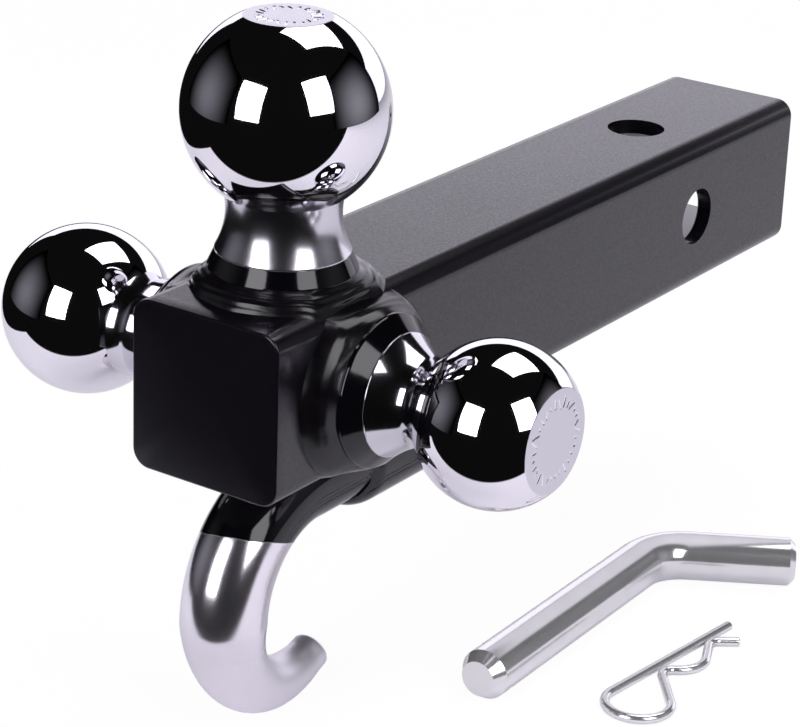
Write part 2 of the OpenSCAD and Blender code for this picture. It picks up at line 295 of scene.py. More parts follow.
@dataclass(frozen=True)
class PowderCoat:
    """Powder coat on mild steel, sprayed and baked: satin black with a fine grain, round a bare pale bore."""

    colours: tuple[str, str] = ("030104", "121016")
    bore_colours: tuple[str, str] = ("6f6d74", "8d8b92")
    roughness: Pair = (0.19, 0.25)
    coat_roughness: float = 0.1
    coat_weight: float = 0.12
    film: Pair = (0.35, 0.65)
    # Real grain is about 0.3 mm wide, too fine to see
    grain_mm: float = 0.8
    grain_depth_mm: float = 0.014
    cloud_mm: float = 38.0
    bore_half_mm: float = 20.6
    bore_end_mm: float = -223.9

    def material(self) -> Material:
        """Builds the coat: fine noise in colour, roughness and height, and a paler finish inside the bore.

        Returns:
            The material.
        """
        material, add, place = new_material("satin_black_powder_coat")
        grain = add("TexNoise", {"Vector": place, "Scale": per_metre(self.grain_mm), "Detail": 3.0})
        cloud = add("TexNoise", {"Vector": place, "Scale": per_metre(self.cloud_mm)})
        x, y, z = add("SeparateXYZ", {0: place}).outputs
        aside, above = (add("Math", {0: part}, operation="ABSOLUTE") for part in (y, z))
        reach = add("Math", {0: aside, 1: above}, operation="MAXIMUM")
        inside = add("Math", {0: reach, 1: self.bore_half_mm * MM}, operation="LESS_THAN")
        ahead = add("Math", {0: x, 1: self.bore_end_mm * MM}, operation="GREATER_THAN")
        bore = add("Math", {0: inside, 1: ahead}, operation="MULTIPLY")
        dark = add("Mix", {0: grain, 6: self.colours[0], 7: self.colours[1]}, data_type="RGBA")
        pale = add("Mix", {0: cloud, 6: self.bore_colours[0], 7: self.bore_colours[1]}, data_type="RGBA")
        colour = add("Mix", {0: bore, 6: dark, 7: pale}, data_type="RGBA")
        rough = add("MapRange", {0: cloud, 3: self.roughness[0], 4: self.roughness[1]})
        film = add("MapRange", {0: grain, 1: self.film[0], 2: self.film[1], 4: 2 * self.coat_weight})
        bump = add("Bump", {"Height": grain, "Distance": self.grain_depth_mm * MM})
        shader = add("BsdfPrincipled", {
            "Base Color": colour, "Roughness": rough, "Normal": bump,
            "Coat Weight": film, "Coat Roughness": self.coat_roughness, "Coat Normal": bump,
        })
        add("OutputMaterial", {0: shader})
        return material


@dataclass(frozen=True)
class ChromePlate:
    """Decorative chrome on forged steel, polished: a dark mirror with a cool tint, and gloss paint below it.

    Flats and necks were only turned on a lathe before plating. They are a little duller than the polished
    ball, and the flats keep faint rings.
    """

    name: str
    axis: Triple
    centre: Triple
    paint_line_mm: float
    neck_mm: float
    flat_mm: float
    neck_roughness: float
    paint: GlossPaint = GlossPaint()
    colours: tuple[str, str] = ("e8e5ee", "f4f2f7")
    flat_colour: str = "d4d2da"
    roughness: float = 0.035
    flat_roughness: float = 0.22
    # Real rings are about 0.2 mm apart, too fine to see
    ring_mm: float = 0.8
    ring_depth_mm: float = 0.004
    speckle_mm: float = 0.5
    edge_wave_mm: float = 3.5
    edge_wobble_mm: float = 0.25
    edge_soft_mm: float = 0.05
    flat_band_mm: Pair = (0.12, 0.04)
    neck_soft_mm: float = 0.1

    def material(self) -> Material:
        """Builds plate and paint, parted by the distance along the axis of the ball.

        Returns:
            The material.
        """
        material, add, place = new_material(self.name)
        height = add("VectorMath", {0: place, 1: self.axis}, operation="DOT_PRODUCT")
        wobble = add("TexNoise", {"Vector": place, "Scale": per_metre(self.edge_wave_mm)})
        shift = add("MapRange", {0: wobble, 3: -self.edge_wobble_mm * MM, 4: self.edge_wobble_mm * MM})
        uneven = add("Math", {0: height, 1: shift})
        line, soft = self.paint_line_mm * MM, self.edge_soft_mm * MM
        plated = add("MapRange", {0: uneven, 1: line - soft, 2: line + soft})
        start, end = ((self.flat_mm - depth) * MM for depth in self.flat_band_mm)
        faced = add("MapRange", {0: height, 1: start, 2: end})
        offset = add("VectorMath", {0: place, 1: tuple(c * MM for c in self.centre)}, operation="SUBTRACT")
        radial = add("VectorMath", {0: offset, 1: self.axis}, operation="CROSS_PRODUCT")
        distance = add("VectorMath", {0: radial}, operation="LENGTH")
        turns = add("Math", {0: distance, 1: 2 * pi * per_metre(self.ring_mm)}, operation="MULTIPLY")
        rings = add("Math", {0: turns}, operation="SINE")
        ring_height = add("Math", {0: rings, 1: faced}, operation="MULTIPLY")
        speckle = add("TexNoise", {"Vector": place, "Scale": per_metre(self.speckle_mm)})
        tint = add("Mix", {0: speckle, 6: self.colours[0], 7: self.colours[1]}, data_type="RGBA")
        line, soft = self.neck_mm * MM, self.neck_soft_mm * MM
        neck = add("MapRange", {0: height, 1: line + soft, 2: line - soft})
        lathe = add("Math", {0: faced, 1: neck}, operation="MAXIMUM")
        turned = add("Mix", {0: lathe, 6: tint, 7: self.flat_colour}, data_type="RGBA")
        colour = add("Mix", {0: plated, 6: self.paint.colour, 7: turned}, data_type="RGBA")
        flat_rough = add("MapRange", {0: faced, 3: self.roughness, 4: self.flat_roughness})
        plate_rough = add("Mix", {0: neck, 2: flat_rough, 3: self.neck_roughness})
        rough = add("Mix", {0: plated, 2: self.paint.roughness, 3: plate_rough})
        peel = add("TexNoise", {"Vector": place, "Scale": per_metre(self.paint.peel_mm), "Detail": 1.0})
        painted = add("Math", {0: 1.0, 1: plated}, operation="SUBTRACT")
        peel_height = add("Math", {0: peel, 1: painted}, operation="MULTIPLY")
        skin = add("Bump", {"Height": peel_height, "Distance": self.paint.peel_depth_mm * MM})
        bump = add("Bump", {"Height": ring_height, "Distance": self.ring_depth_mm * MM, "Normal": skin})
        shader = add("BsdfPrincipled", {
            "Base Color": colour, "Metallic": plated, "Roughness": rough, "Normal": bump,
        })
        add("OutputMaterial", {0: shader})
        return material


@dataclass(frozen=True)
class WeldPaint:
    """Arc weld bead under gloss paint: lumpy black with broken highlights and a fine crust."""

    colours: tuple[str, str] = ("030204", "100e12")
    roughness: Pair = (0.12, 0.27)
    lump_mm: float = 5.0
    lump_depth_mm: float = 0.06
    lump_share: float = 0.6
    crust_mm: float = 1.1
    crust_depth_mm: float = 0.015

    def material(self) -> Material:
        """Builds the painted bead, with noise of two sizes in its height.

        Returns:
            The material.
        """
        material, add, place = new_material("painted_weld_bead")
        crust = add("TexNoise", {"Vector": place, "Scale": per_metre(self.crust_mm), "Detail": 3.0})
        lump = add("TexNoise", {"Vector": place, "Scale": per_metre(self.lump_mm), "Detail": 1.0})
        colour = add("Mix", {0: lump, 6: self.colours[0], 7: self.colours[1]}, data_type="RGBA")
        rough = add("MapRange", {0: lump, 3: self.roughness[0], 4: self.roughness[1]})
        swell = add("Bump", {
            "Height": lump, "Distance": self.lump_depth_mm * MM, "Strength": self.lump_share,
        })
        bump = add("Bump", {"Height": crust, "Distance": self.crust_depth_mm * MM, "Normal": swell})
        shader = add("BsdfPrincipled", {"Base Color": colour, "Roughness": rough, "Normal": bump})
        add("OutputMaterial", {0: shader})
        return material


@dataclass(frozen=True)
class HookPlate:
    """Bright plate on a forging, tumbled: a mirror that goes satin down the curl, under gloss black paint."""

    paint: GlossPaint = GlossPaint()
    colours: tuple[str, str] = ("e8e5ec", "f4f1f8")
    roughness: Pair = (0.18, 0.4)
    metallic: Pair = (0.98, 0.82)
    satin_mm: Pair = (-74.0, -88.0)
    line_point_mm: Triple = (-214.3, -3.4, -45.8)
    line_normal: Triple = (-0.351, -0.134, -0.927)
    line_wave_mm: float = 5.0
    line_wobble_mm: float = 0.5
    line_soft_mm: float = 0.1
    speckle_mm: float = 0.5
    hammer_mm: float = 7.0
    hammer_depth_mm: float = 0.06
    hammer_share: float = 0.5

    def material(self) -> Material:
        """Builds plate and paint, parted by the side of a plane across the bend.

        Returns:
            The material.
        """
        material, add, place = new_material("bright_plated_forging")
        point = tuple(c * MM for c in self.line_point_mm)
        offset = add("VectorMath", {0: place, 1: point}, operation="SUBTRACT")
        depth = add("VectorMath", {0: offset, 1: self.line_normal}, operation="DOT_PRODUCT")
        wobble = add("TexNoise", {"Vector": place, "Scale": per_metre(self.line_wave_mm)})
        shift = add("MapRange", {0: wobble, 3: -self.line_wobble_mm * MM, 4: self.line_wobble_mm * MM})
        uneven = add("Math", {0: depth, 1: shift})
        plated = add("MapRange", {0: uneven, 1: -self.line_soft_mm * MM, 2: self.line_soft_mm * MM})
        speckle = add("TexNoise", {"Vector": place, "Scale": per_metre(self.speckle_mm)})
        hammer = add("TexNoise", {"Vector": place, "Scale": per_metre(self.hammer_mm), "Detail": 1.0})
        tint = add("Mix", {0: speckle, 6: self.colours[0], 7: self.colours[1]}, data_type="RGBA")
        colour = add("Mix", {0: plated, 6: self.paint.colour, 7: tint}, data_type="RGBA")
        level = add("SeparateXYZ", {0: place}).outputs["Z"]
        fade = {0: level, 1: self.satin_mm[0] * MM, 2: self.satin_mm[1] * MM}
        plate_rough = add("MapRange", {**fade, 3: self.roughness[0], 4: self.roughness[1]})
        plate_metal = add("MapRange", {**fade, 3: self.metallic[0], 4: self.metallic[1]})
        rough = add("Mix", {0: plated, 2: self.paint.roughness, 3: plate_rough})
        metal = add("Math", {0: plated, 1: plate_metal}, operation="MULTIPLY")
        bump = add("Bump", {
            "Height": hammer, "Distance": self.hammer_depth_mm * MM, "Strength": self.hammer_share,
        })
        shader = add("BsdfPrincipled", {
            "Base Color": colour, "Metallic": metal, "Roughness": rough, "Normal": bump,
        })
        add("OutputMaterial", {0: shader})
        return material


@dataclass(frozen=True)
class BrightZinc:
    """Clear zinc plate on drawn steel: silver grey, soft mirror, with faint lines along the bar."""

    name: str
    colours: tuple[str, str] = ("e0e0e1", "eeeeee")
    metallic: float = 0.82
    roughness: Pair = (0.13, 0.2)
    # Real drawing lines are about 0.1 mm apart, too fine to see
    line_mm: float = 0.6
    line_depth_mm: float = 0.002
    line_squeeze: float = 0.03
    cloud_mm: float = 9.0
    heading_deg: float = 0.0

    def material(self) -> Material:
        """Builds the plate, with noise that is drawn out along the heading of the bar.

        Returns:
            The material.
        """
        material, add, place = new_material(self.name)
        turned = add("Mapping", {
            "Vector": place, "Rotation": (0, 0, radians(-self.heading_deg)),
            "Scale": (self.line_squeeze, 1, 1),
        })
        lines = add("TexNoise", {"Vector": turned, "Scale": per_metre(self.line_mm)})
        cloud = add("TexNoise", {"Vector": place, "Scale": per_metre(self.cloud_mm), "Detail": 3.0})
        colour = add("Mix", {0: cloud, 6: self.colours[0], 7: self.colours[1]}, data_type="RGBA")
        rough = add("MapRange", {0: lines, 3: self.roughness[0], 4: self.roughness[1]})
        bump = add("Bump", {"Height": lines, "Distance": self.line_depth_mm * MM})
        shader = add("BsdfPrincipled", {
            "Base Color": colour, "Metallic": self.metallic, "Roughness": rough, "Normal": bump,
        })
        add("OutputMaterial", {0: shader})
        return material


def dress(piece: Object, material: Material) -> None:
    """Gives a piece one material in place of what it has.

    Args:
        piece: Piece or CAD node.
        material: Its finish.
    """
    piece.data.materials.clear()
    piece.data.materials.append(material)


def seat(piece: Object, body: str, node: str, material: Material) -> None:
    """Puts a new piece in the place of a CAD node, with its finish.

    Args:
        piece: The new piece.
        body: CAD body that it rides on.
        node: CAD node that it stands for.
        material: Its finish.
    """
    dress(piece, material)
    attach(piece, body)
    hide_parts(node)
    LOG.info("%s stands for %s: %d vertices, %s", piece.name, node, len(piece.data.vertices), material.name)


@dataclass
class Shank:
    """Square tube with pin holes, and the plate that closes its rear end."""

    rear: float = -230.0
    plate_t: float = 6.0
    edge_r: float = 0.7
    coat: PowderCoat = PowderCoat()

    def outline(self, inset: float, steps: int = 12) -> np.ndarray:
        """Gives a rounded square as four corner arcs, drawn in by an inset.

        Args:
            inset: Distance that the outline is drawn in.
            steps: Points on a corner less one.

        Returns:
            Array of points by two, Y and Z.
        """
        flat = TUBE_HALF - TUBE_CORNER
        turns = ((1, 1, 0), (-1, 1, 90), (-1, -1, 180), (1, -1, 270))
        return np.vstack([
            arc((sy * flat, sz * flat), TUBE_CORNER - inset, start, start + 90, steps)
            for sy, sz, start in turns
        ])

    def plate(self) -> Object:
        """Builds the plate as a stack of outlines, whose rear edge is a quarter round.

        Returns:
            The piece.
        """
        bend = np.radians(np.linspace(0, 90, 7))
        stations = [(self.rear + self.plate_t, 0.0)]
        stations += [
            (self.rear + self.edge_r * (1 - sin(b)), self.edge_r * (1 - cos(b))) for b in bend
        ]
        rings = [np.insert(self.outline(inset), 0, x, axis=1) for x, inset in stations]
        return grid_object("rear_plate", np.array(rings)[:, ::-1])

    def build(self) -> None:
        """Coats the tube and puts in the plate."""
        coat = self.coat.material()
        tube_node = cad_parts["shank_tube"]
        dress(tube_node, coat)
        LOG.info("shank_tube keeps its CAD mesh: %s", coat.name)
        seat(self.plate(), "hitch", "end_plate", coat)


@dataclass
class BallStud:
    """One towing ball on its flared foot, with the bead that joins it to the tube."""

    name: str
    face: Face
    ball_d: float
    flat_d: float
    neck_d: float
    flange_d: float
    bevel: float
    station: float
    seed: int
    rise: float = 21.3
    flange_t: float = 8.2
    flare_top: float = 22.0
    land: float = 0.4
    spigot_d: float = 25.4
    wall: float = 5.0
    bead_leg: float = 5.0
    bead_crown: float = 1.2
    bead_crest: float = 7.3
    wall_top: float = 8.2
    widest_deg: float = 0.0
    widest_extra: float = 2.6
    neck_roughness: float = 0.1
    flare_power: float = 1.5
    lump: float = 0.1
    ripple: float = 0.03
    stroke_inset: float = 4.2
    stroke_pitch: float = 2.3
    stroke_w: float = 0.6
    stroke_slope: float = 0.25
    stroke_depth: float = 0.2
    stroke_zone: float = 6.6
    lip: float = 0.6
    lip_r: float = 0.22
    lip_deg: float = 0.6
    axis_gap: float = 0.3
    paint_lift: float = 0.05
    toe_wave: float = 0.6
    crest_wave: float = 0.4
    least_leg: float = 0.25
    bead_lap: float = 0.15
    bead_sink: float = 0.05
    turn_points: int = 300
    bead_points: int = 480

    def centre_height(self) -> float:
        """Height of the middle of the ball above the tube face."""
        return self.rise + self.ball_d / 2

    def flat_height(self) -> float:
        """Height of the flat above the tube face."""
        return self.centre_height() + sqrt(self.ball_d ** 2 - self.flat_d ** 2) / 2

    def flare_radius(self) -> float:
        """Radius of the arc from the land above the bevel to the narrowest part of the neck."""
        width = (self.flange_d - self.neck_d) / 2 - self.bevel
        rise = self.flare_top - self.flange_t - self.bevel - self.land
        return (width ** 2 + rise ** 2) / (2 * width)

    def neck_joint(self) -> Pair:
        """Gives the point where the arc of the flare crosses the ball, as radius and height above the face.

        Returns:
            The lower crossing of the two circles.
        """
        flare_r, r = self.flare_radius(), self.ball_d / 2
        hub = self.neck_d / 2 + flare_r
        climb = self.centre_height() - self.flare_top
        apart = hypot(hub, climb)
        along = (flare_r ** 2 - r ** 2 + apart ** 2) / (2 * apart)
        off = sqrt(flare_r ** 2 - along ** 2)
        return hub - (along * hub + off * climb) / apart, self.flare_top + (along * climb - off * hub) / apart

    def profile(self) -> np.ndarray:
        """Gives the half outline of the ball from its spigot to its flat.

        Flange and bevel are straight with rounded corners. The flare narrows with a power of the height,
        from the land to the neck. An arc widens the neck again up to where it crosses the ball, and the
        ball is an arc up to the rounded edge of the flat.

        Returns:
            Array of points by two, radius and height above the tube face.
        """
        spigot, flange, neck = self.spigot_d / 2, self.flange_d / 2, self.neck_d / 2
        foot_r, foot = flange - self.bevel, self.flange_t + self.bevel
        rise, flare_r = self.flare_top - foot - self.land, self.flare_radius()
        low = rounded([
            (self.axis_gap, -self.wall, 0), (spigot, -self.wall, 0.4), (spigot, 0, 0), (flange, 0, 0.3),
            (flange, self.wall_top, 0.5), (foot_r, foot, 0.25), (foot_r, foot + self.land, 0),
        ])
        r, centre = self.ball_d / 2, self.centre_height()
        joint = self.neck_joint()
        hub = (neck + flare_r, self.flare_top)
        finish = degrees(atan2(joint[1] - hub[1], joint[0] - hub[0]))
        t = np.linspace(0, 1, 28)
        narrow = neck + (foot_r - neck) * (1 - t) ** self.flare_power
        cone = np.stack([narrow, foot + self.land + rise * t], -1)
        flare = np.vstack([cone, arc(hub, flare_r, 180, finish, steps=12)[1:]])
        start = degrees(atan2(joint[1] - centre, joint[0]))
        edge = degrees(acos(self.flat_d / self.ball_d))
        ball = arc((0, centre), r, start, edge - self.lip_deg, steps=84)
        rim, flat = self.flat_d / 2, self.flat_height()
        lip = rounded([(*ball[-1], 0), (rim, flat, self.lip_r), (rim - self.lip, flat, 0)], steps=4)
        fine = np.linspace(self.lip, self.stroke_zone, 26)
        inward = rim - np.concatenate([fine, np.linspace(self.stroke_zone + 0.9, rim - self.axis_gap, 5)])
        face = np.stack([inward, np.full(len(inward), flat)], -1)
        return np.vstack([low, flare, ball[1:], lip[1:], face[1:]])

    def stamp(self, radius: np.ndarray, angle: np.ndarray) -> np.ndarray:
        """Gives the depth of a ring of plain stamped strokes on the flat.

        A stroke is a bar about one angle of the ring, with a slant and a length of its own. Its depth is full
        within half its width and half its length, and falls to nothing over a short slope.

        Args:
            radius: Distance from the axis of each ring of the mesh.
            angle: Angle of each point on a ring.

        Returns:
            Array of rings by points.
        """
        rng = np.random.default_rng(self.seed + 10)
        ring = self.flat_d / 2 - self.stroke_inset
        count = round(2 * pi * ring / self.stroke_pitch)
        slant = rng.choice([-0.5, 0.0, 0.0, 0.5], count)
        half_l = rng.choice([0.6, 1.1, 1.6], count)
        shift = rng.uniform(-0.4, 0.4, count)
        at = 2 * pi * np.arange(count) / count
        v = radius[:, None, None] - ring - shift
        turn = (angle[:, None] - at + pi) % (2 * pi) - pi
        u = ring * turn - slant * v
        wide = np.clip((self.stroke_w / 2 - np.abs(u)) / self.stroke_slope + 0.5, 0, 1)
        tall = np.clip((half_l - np.abs(v)) / self.stroke_slope + 0.5, 0, 1)
        return self.stroke_depth * (wide * tall).max(-1)

    def place(self, local: np.ndarray) -> np.ndarray:
        """Moves points from the ball's own axes, with Z along the axis above the tube face, to the frame.

        Args:
            local: Array whose last axis is three long.

        Returns:
            Array of the same shape.
        """
        axes = self.face.axes()
        foot = np.array([-self.station, 0, 0]) + axes[2] * TUBE_HALF
        return foot + local @ axes

    def ball(self) -> Object:
        """Turns the outline about the axis of the ball, (r cosine, r sine, height), and sinks the strokes.

        Returns:
            The piece.
        """
        profile = self.profile()
        angle = np.linspace(0, 2 * np.pi, self.turn_points, endpoint=False)
        on_flat = profile[:, 1:] > self.flat_height() - 0.001
        height = profile[:, 1:] - np.where(on_flat, self.stamp(profile[:, 0], angle), 0)
        points = np.stack([
            np.outer(profile[:, 0], np.cos(angle)), np.outer(profile[:, 0], np.sin(angle)), height,
        ], -1)
        return grid_object(self.name + "_turned", self.place(points)[:, ::-1], crease=28)

    def bead(self) -> Object:
        """Builds the bead as a ring of closed sections.

        The face of a section runs from its toe on the tube to its crest on the flange, with a crown of half
        a sine wave. Toe and crest swell and ebb with waves of several counts round the flange, the toe
        reaches out furthest on one side, and the crown has lumps and ripples, which are waves round and
        across the bead. The underside follows the tube and its edge.

        Returns:
            The piece.
        """
        angle = np.linspace(0, 2 * np.pi, self.bead_points, endpoint=False)
        heights = {2: 0.45, 3: 0.45, 5: 0.35, 8: 0.25, 13: 0.125, 19: 0.075}
        waves, phase = wave_sums(self.seed, heights, angle)
        across = np.abs(np.sin(angle))
        flange = self.flange_d / 2
        edge = TUBE_HALF - TUBE_CORNER * (1 - sqrt(0.5))
        lean = (0.5 + 0.5 * np.cos(angle - radians(self.widest_deg))) ** 2
        free = flange + self.bead_leg + self.toe_wave * waves[0] + self.widest_extra * lean
        toe = np.maximum(np.minimum(free, edge / np.maximum(across, 0.01)), flange + self.least_leg)
        crest = self.bead_crest + self.crest_wave * waves[1]

        def fall(y: np.ndarray) -> np.ndarray:
            """Gives how far the rounded edge of the tube lies under its face at a distance across it."""
            over = np.clip(y - TUBE_HALF + TUBE_CORNER, 0, TUBE_CORNER)
            return TUBE_CORNER - np.sqrt(TUBE_CORNER ** 2 - over ** 2)

        s = np.linspace(0, 1, 25)[:, None]
        toe_z = -fall(toe * across)
        lumps = waves[2] + np.sin(7 * angle + 2.4 * s + phase[0, 0]) + 0.4 * np.sin(12 * angle - 5 * s)
        ripple = np.sin(2 * np.pi * (3.5 * s + 0.3 * waves[1]))
        crown = self.bead_crown + self.lump * lumps + self.ripple * ripple
        swell = crown * np.sin(np.pi * s) * sqrt(0.5)
        inner = flange - self.bead_lap
        face_r = toe + (inner - toe) * s + swell
        face_z = toe_z + (crest - toe_z) * s + swell
        t = np.linspace(0, 1, 4)[:-1, None]
        under_r = inner + (toe - inner) * t
        under_z = -fall(under_r * across) - self.bead_sink
        r, z = np.vstack([under_r, face_r]), np.vstack([under_z, face_z])
        points = np.stack([r * np.cos(angle), r * np.sin(angle), z], -1).swapaxes(0, 1)
        return grid_object(self.name + "_bead", self.place(points), ring_of_rings=True, crease=70)

    def finish(self) -> ChromePlate:
        """Gives the plate of this ball, with its paint line at the foot of the flare."""
        return ChromePlate(
            name=f"chrome_on_{self.name}", axis=self.face.value, centre=tuple(self.place(np.zeros(3))),
            paint_line_mm=TUBE_HALF + self.flange_t + self.bevel + self.paint_lift,
            neck_mm=TUBE_HALF + self.neck_joint()[1], neck_roughness=self.neck_roughness,
            flat_mm=TUBE_HALF + self.flat_height(),
        )

    def build(self, weld: Material) -> None:
        """Builds ball and bead in place of their CAD nodes.

        Args:
            weld: Finish of the bead.
        """
        seat(self.ball(), "hitch", self.name, self.finish().material())
        seat(self.bead(), "hitch", self.name + "_weld", weld)


@dataclass
class TowHook:
    """Forged hook under the tube, with the beads beside its root."""

    root_r: float = 14.3
    bar_r: float = 12.7
    tip_r: float = 6.0
    front: float = 110.0
    shoulder: float = 161.0
    shoulder_l: float = 5.0
    bend_start: float = 186.0
    bend_r: float = 33.7
    curl_r: float = 29.1
    curl_deg: float = 111.0
    tip_l: float = 3.0
    end_r: float = 1.5
    top: float = -25.46
    sides: int = 72
    bead_inset: float = 2.0
    bead_points: int = 200
    gap_deg: float = 22.0
    wrap_deg: float = 36.0
    wrap_wave: float = 3.0
    toe_l: float = 1.0
    toe_wave: float = 0.5
    bead_crown: float = 1.3
    crown_wave: float = 0.35
    chevrons: int = 15
    chevron_depth: float = 0.14
    fade_share: float = 0.05
    bead_lap: float = 0.03
    # Keeps the finer bar inside the CAD model's
    shrink: float = 0.9985

    def centre_line(self) -> tuple[np.ndarray, np.ndarray]:
        """Gives the centre line of the bar and its radius.

        A straight root steps down over a smooth shoulder, a bend turns the bar down, and a curl turns it
        forward and up while its radius falls evenly. Both ends are closed by a quarter round.

        Returns:
            Array of points by three, and the radius at each.
        """
        ease = np.radians(np.linspace(0, 90, 8))
        root_x = np.concatenate([
            self.front + self.end_r * (1 - np.cos(ease)),
            np.linspace(self.front + 4, self.shoulder - 1, 14),
            np.linspace(self.shoulder, self.shoulder + self.shoulder_l, 12),
            np.linspace(self.shoulder + self.shoulder_l + 2, self.bend_start - 1, 8),
        ])
        step = np.clip((root_x - self.shoulder) / self.shoulder_l, 0, 1)
        bar = self.root_r + (self.bar_r - self.root_r) * step ** 2 * (3 - 2 * step)
        root_z = self.top - bar
        root_radius = bar.copy()
        root_radius[:len(ease)] = self.root_r - self.end_r + self.end_r * np.sin(ease)
        bend_z = self.top - self.bar_r - self.bend_r
        bend = arc((-self.bend_start, bend_z), self.bend_r, 90, 180, 60)
        curl_x = -self.bend_start + self.curl_r - self.bend_r
        curl = arc((curl_x, bend_z), self.curl_r, 180, 180 + self.curl_deg, 90)[1:]
        thin = self.bar_r + (self.tip_r - self.bar_r) * np.linspace(0, 1, len(curl) + 1)[1:]
        heading = radians(90 + self.curl_deg)
        ahead = np.array([-cos(heading), -sin(heading)])
        reach = np.concatenate([[self.tip_l * 0.5], self.tip_l + self.end_r * np.sin(ease)])
        tip = curl[-1] + reach[:, None] * ahead
        tip_radius = np.concatenate([[self.tip_r], self.tip_r - self.end_r + self.end_r * np.cos(ease)])
        flat = np.vstack([np.stack([-root_x, root_z], -1), bend, curl, tip])
        radius = np.concatenate([root_radius, np.full(len(bend), self.bar_r), thin, tip_radius])
        return np.insert(flat, 1, 0, axis=1), radius * self.shrink

    def bar(self) -> Object:
        """Carries a circle along the centre line.

        Returns:
            The piece.
        """
        path, radius = self.centre_line()
        return grid_object("tow_hook_bar", tube(path, radius, (0, 1, 0), self.sides), crease=50)

    def bead(self, side: int, seed: int) -> Object:
        """Builds a bead in the corner between tube and root, as a row of closed sections along the bar.

        A section follows the bar, then crowns from the toe on the bar to the toe on the tube as half a sine
        wave. Both toes and the crown swell and ebb with waves along the bar, and both ends fade out.

        Args:
            side: 1 for the left of the tube, -1 for the right.
            seed: Seed of the waves.

        Returns:
            The piece.
        """
        u = np.linspace(0, 1, self.bead_points)
        heights = {1.5: 0.5 / 3, 2.5: 0.8 / 3, 4: 0.3, 7: 0.8 / 3, 11: 0.2, 16: 0.4 / 3}
        waves, _ = wave_sums(seed, heights, 2 * np.pi * u)
        chevron = self.chevron_depth * (((u * self.chevrons + 0.2 * waves[0]) % 1.0) ** 2 - 0.33)
        fade = np.clip(np.minimum(u, 1 - u) / self.fade_share, 0.1, 1) ** 0.5
        x = -(self.front + self.bead_inset + (self.shoulder - self.front - 2 * self.bead_inset) * u)
        gap = radians(self.gap_deg)
        toe = np.radians(self.gap_deg + (self.wrap_deg + self.wrap_wave * waves[0]) * fade)
        s = np.linspace(0, 1, 9)[:, None]
        theta = gap + (toe - gap) * s
        centre_z = self.top - self.root_r
        bar_y, bar_z = self.root_r * np.sin(theta), centre_z + self.root_r * np.cos(theta)
        inner = self.root_r * sin(gap)
        tube_y = inner + (self.root_r - inner + self.toe_l + self.toe_wave * waves[1]) * fade
        t = np.linspace(0, 1, 12)[1:-1, None]
        crown = (self.bead_crown + self.crown_wave * waves[2] + chevron) * fade
        bulge = crown * np.sin(np.pi * t) * sqrt(0.5)
        crown_y = bar_y[-1] + (tube_y - bar_y[-1]) * t + bulge
        crown_z = bar_z[-1] + (self.top - bar_z[-1]) * t - bulge
        flat_z = np.full_like(u, self.top + self.bead_lap)
        y = np.vstack([bar_y, crown_y, tube_y, np.full_like(u, inner)])
        z = np.vstack([bar_z, crown_z, flat_z, flat_z])
        points = np.stack([np.broadcast_to(x, y.shape), side * y, z], -1).swapaxes(0, 1)
        name = "hook_bead_left" if side > 0 else "hook_bead_right"
        return grid_object(name, points if side > 0 else points[:, ::-1], crease=70)

    def build(self, weld: Material) -> None:
        """Builds bar and beads in place of their CAD nodes.

        Args:
            weld: Finish of the beads.
        """
        seat(self.bar(), "hitch", "tow_hook", HookPlate().material())
        seat(self.bead(1, 5), "hitch", "hook_weld_left", weld)
        seat(self.bead(-1, 6), "hitch", "hook_weld_right", weld)


